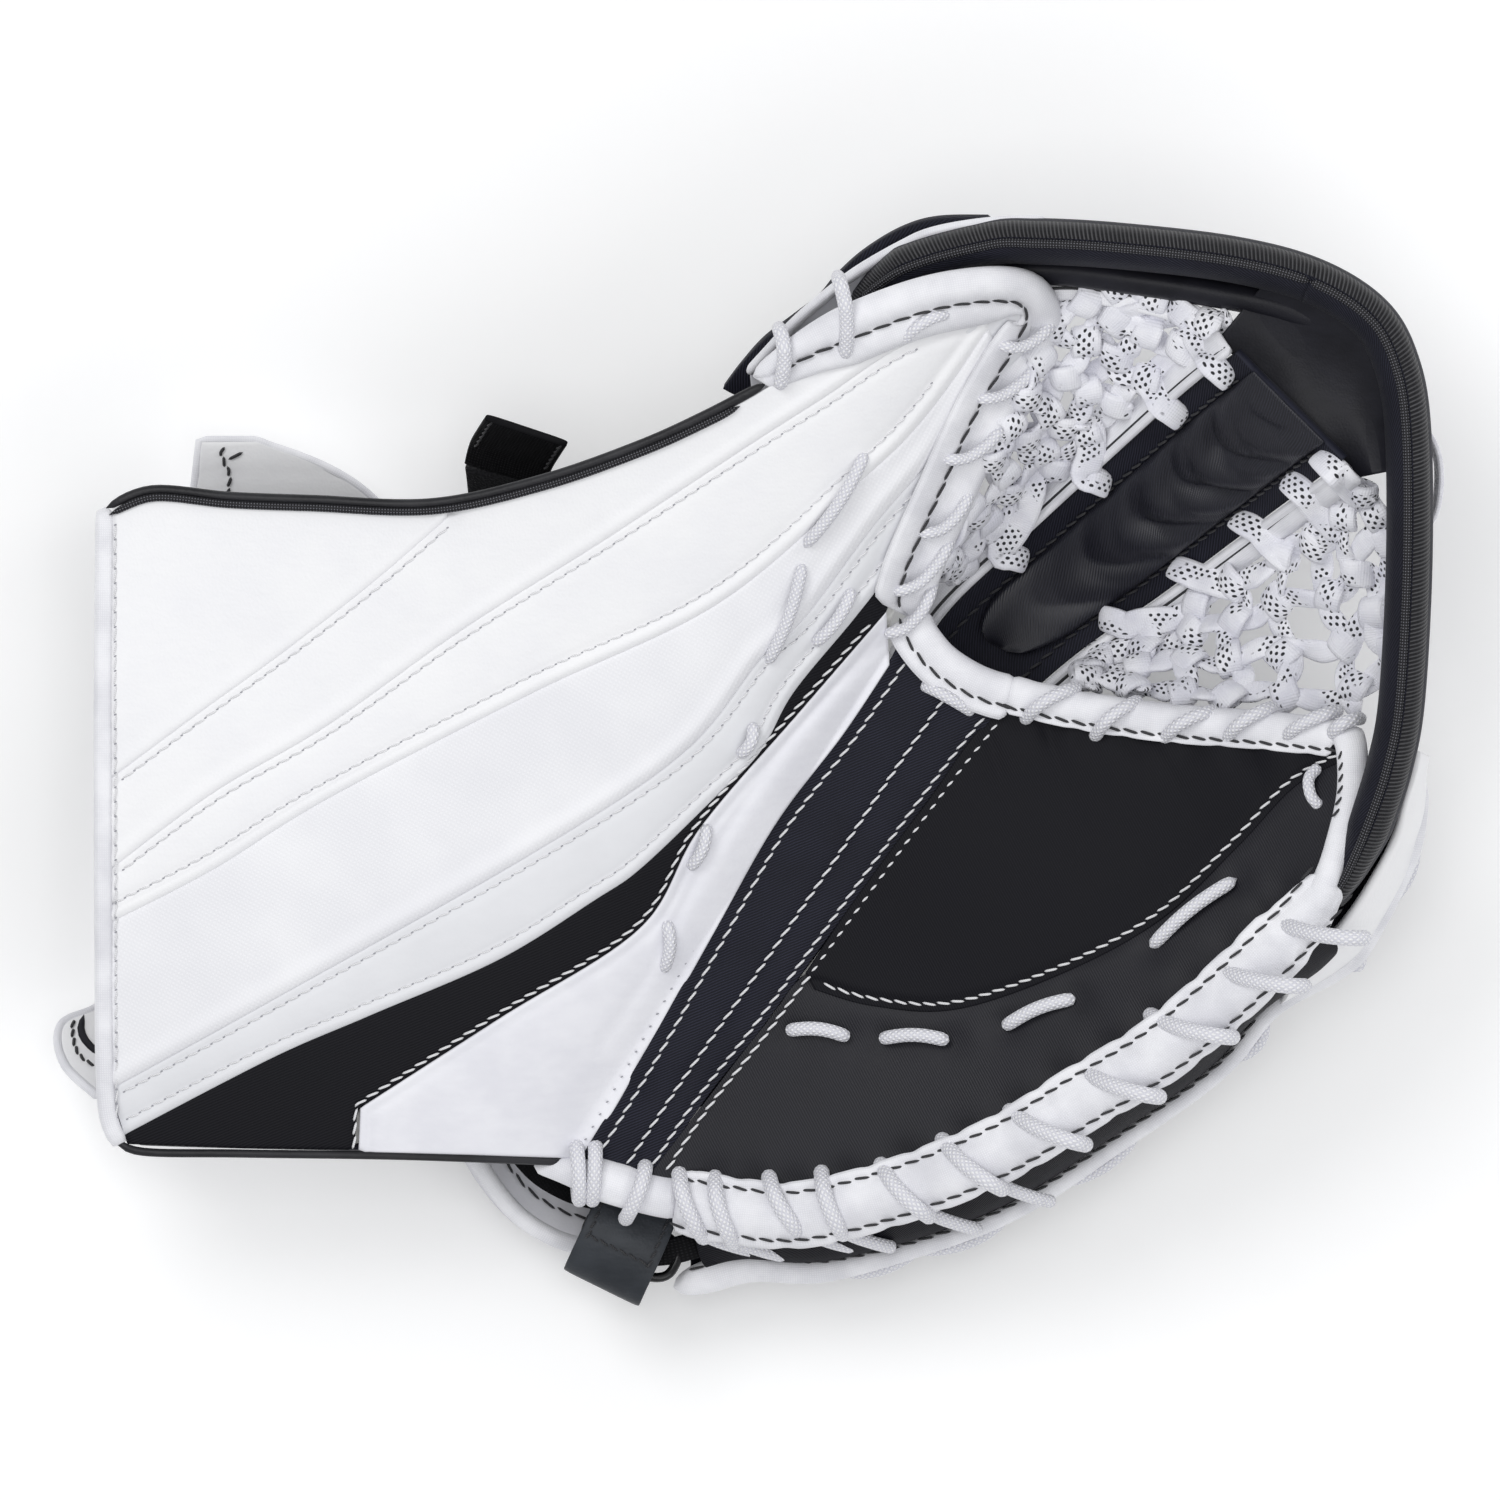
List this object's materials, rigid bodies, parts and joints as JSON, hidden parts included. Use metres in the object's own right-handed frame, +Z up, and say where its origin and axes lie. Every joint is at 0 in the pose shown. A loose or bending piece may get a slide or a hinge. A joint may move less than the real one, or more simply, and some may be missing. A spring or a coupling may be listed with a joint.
{
  "type": "goalie catch glove",
  "caption": "Left-hand hockey goalie catching glove: stitched cuff and thumb board, hinged break, laced palm, woven lace pocket and strap ring.",
  "frame": {"origin": "centre of the bounding box in plan, on the surface the glove lies on", "axes": "+X from the cuff end to the finger tips, +Y towards the thumb, +Z up out of the palm"},
  "size_m": [0.414, 0.327, 0.1436],
  "materials": {
    "white_leather": "satin",
    "black_leather": "satin",
    "black_twill": "matte",
    "foam": "matte",
    "stiff_plastic": "matte",
    "black_cloth": "matte",
    "round_lace": "satin",
    "flat_lace": "matte",
    "white_tape": "satin",
    "black_piping": "satin",
    "ribbed_piping": "matte",
    "black_webbing": "matte",
    "grey_leather": "satin",
    "black_wire": "gloss"
  },
  "bodies": {
    "thumb_half": {"cuff_band_a": "white_leather", "cuff_band_b": "white_leather", "cuff_band_c": "white_leather", "cuff_band_d": "white_leather", "cuff_band_e": "white_leather", "cuff_side_panel": "black_twill", "cuff_patch": "white_leather", "cuff_foam": "foam", "cuff_plate": "stiff_plastic", "cuff_lining": "black_cloth", "cuff_end_binding": "white_tape", "cuff_top_piping": "black_piping", "cuff_bottom_piping": "black_piping", "thumb_edge_roll": "white_tape", "thumb_edge_lacing": "round_lace", "thumb_face_lacing": "round_lace", "thumb_stall": "black_cloth", "wrist_guard_shell": "white_leather", "wrist_guard_foam": "foam", "wrist_guard_lining": "black_cloth", "wrist_strap": "black_webbing"},
    "strap_end": {"wrist_strap_end": "black_webbing"},
    "spine": {"gusset_strip_a": "black_twill", "gusset_strip_b": "black_twill", "gusset_foam": "foam", "gusset_top_binding": "white_tape", "heel_roll": "white_tape", "t_strap": "black_twill", "t_pad": "black_twill", "t_binding_left": "white_tape", "t_binding_right": "white_tape", "corner_patch": "black_leather", "perimeter_bar": "black_twill", "bar_piping": "ribbed_piping", "thumb_web": "flat_lace", "finger_web": "flat_lace"},
    "finger_half": {"palm_patch": "black_leather", "palm_skin": "black_leather", "palm_foam": "foam", "palm_lining": "black_cloth", "pocket_edge_roll": "white_tape", "pocket_edge_lacing": "round_lace", "palm_side_binding": "white_tape", "palm_roll": "white_tape", "palm_roll_lacing": "round_lace", "palm_face_lacing": "round_lace", "finger_wall": "black_twill", "back_binding": "white_tape", "back_board": "black_twill", "pocket_wall": "black_twill", "hand_back_pad": "foam", "index_stall": "black_cloth", "middle_stall": "black_cloth", "ring_stall": "black_cloth", "little_stall": "black_cloth", "heel_flap": "white_leather", "strap_tab": "grey_leather", "ring_elastic": "black_webbing"},
    "ring": {"strap_ring": "black_wire"}
  },
  "joints": [
    {"name": "thumb_fold", "type": "hinge", "parent": "thumb_half", "child": "spine", "pos_m": [-0.046, -0.119, 0.063], "axis": [-0.5365, -0.838, -0.0995], "range_deg": [0, 15], "deforming": ["thumb_web", "perimeter_bar", "bar_piping"]},
    {"name": "finger_fold", "type": "hinge", "parent": "spine", "child": "finger_half", "pos_m": [-0.023, -0.123, 0.064], "axis": [-0.587, -0.8035, -0.0992], "range_deg": [0, 15], "deforming": ["finger_web", "perimeter_bar", "bar_piping"]},
    {"name": "strap_end_peel", "type": "hinge", "parent": "thumb_half", "child": "strap_end", "pos_m": [-0.0696, 0.0877, 0.051], "axis": [-1, 0, 0], "range_deg": [0, 35]},
    {"name": "ring_swing", "type": "hinge", "parent": "finger_half", "child": "ring", "pos_m": [-0.0358, -0.1512, 0.0403], "axis": [0.897, -0.442, 0], "range_deg": [0, 20]}
  ],
  "couplings": [
    {"joint": "finger_fold", "follows": "thumb_fold", "ratio": 1}
  ]
}
